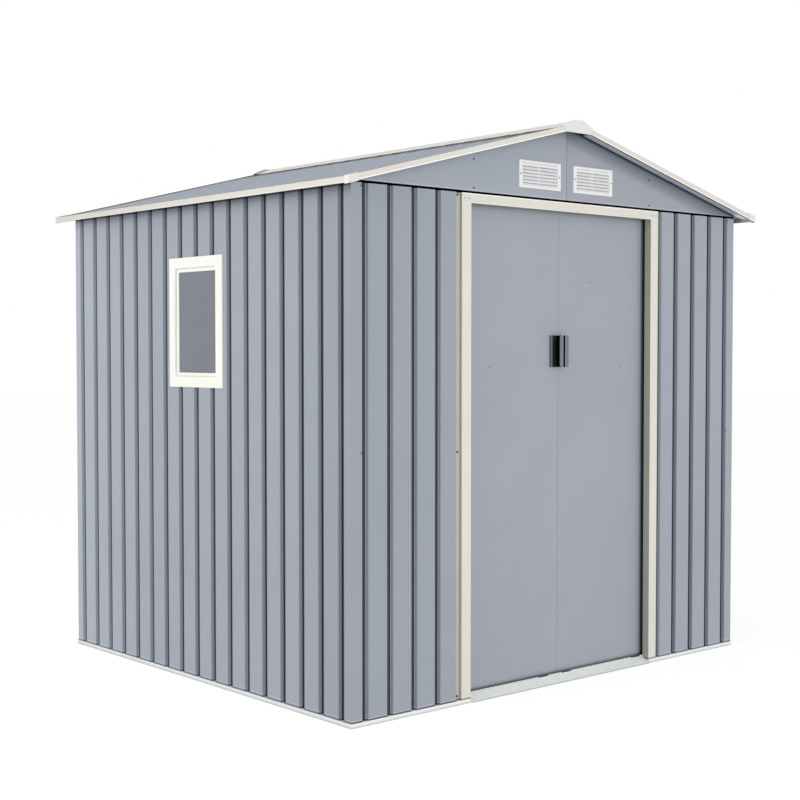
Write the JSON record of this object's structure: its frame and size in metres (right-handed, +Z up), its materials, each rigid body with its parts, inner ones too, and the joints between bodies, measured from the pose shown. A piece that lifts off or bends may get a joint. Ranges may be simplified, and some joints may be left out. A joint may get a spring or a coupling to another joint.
{
  "type": "metal storage shed",
  "caption": "Grooved sheet-metal garden storage shed with a low gable roof, sliding doors, side windows and louvred gable vents.",
  "frame": {"origin": "on the ground, at the middle of the plan", "axes": "+Z up, +X along the front from the windowed left side to the right side, the doors face -Y"},
  "size_m": [2.1344, 1.916, 2.0376],
  "materials": {
    "grey_enamel": "satin",
    "roof_enamel": "satin",
    "cream_enamel": "satin",
    "galvanised_steel": "dull",
    "sill_steel": "satin",
    "white_plastic": "satin",
    "cap_plastic": "satin",
    "window_pane": "clear",
    "handle_plastic": "satin",
    "runner_plastic": "satin"
  },
  "bodies": {
    "shed": {"left_base_rail": "galvanised_steel", "right_base_rail": "galvanised_steel", "back_base_rail": "galvanised_steel", "front_base_rails": "galvanised_steel", "door_sill": "sill_steel", "door_lower_track": "galvanised_steel", "door_upper_track": "galvanised_steel", "front_top_rail": "galvanised_steel", "back_top_rail": "galvanised_steel", "side_top_rails": "galvanised_steel", "side_mid_rails": "galvanised_steel", "back_mid_rail": "galvanised_steel", "front_mid_rails": "galvanised_steel", "front_left_wall": "grey_enamel", "front_right_wall": "grey_enamel", "left_wall": "grey_enamel", "right_wall": "grey_enamel", "back_wall": "grey_enamel", "left_jamb": "cream_enamel", "right_jamb": "cream_enamel", "door_header": "cream_enamel", "front_left_gable": "grey_enamel", "front_right_gable": "grey_enamel", "back_left_gable": "grey_enamel", "back_right_gable": "grey_enamel", "front_vents": "white_plastic", "back_vents": "white_plastic", "ridge_beam": "galvanised_steel", "side_purlins": "galvanised_steel", "left_roof": "roof_enamel", "right_roof": "roof_enamel", "ridge_cap": "cream_enamel", "ridge_end_caps": "cap_plastic", "left_eave_trim": "cream_enamel", "right_eave_trim": "cream_enamel", "front_left_verge_trim": "cream_enamel", "front_right_verge_trim": "cream_enamel", "back_left_verge_trim": "cream_enamel", "back_right_verge_trim": "cream_enamel", "roof_corner_caps": "cap_plastic", "left_window_frame": "white_plastic", "right_window_frame": "white_plastic", "left_window_pane": "window_pane", "right_window_pane": "window_pane"},
    "left_leaf": {"left_door": "grey_enamel", "left_door_handle": "handle_plastic", "left_door_runners": "runner_plastic"},
    "right_leaf": {"right_door": "grey_enamel", "right_door_handle": "handle_plastic", "right_door_runners": "runner_plastic"}
  },
  "joints": [
    {"name": "left_door_slide", "type": "slide", "parent": "shed", "child": "left_leaf", "axis": [-1, 0, 0], "range_m": [0, 0.42]},
    {"name": "right_door_slide", "type": "slide", "parent": "shed", "child": "right_leaf", "axis": [1, 0, 0], "range_m": [0, 0.42]}
  ]
}
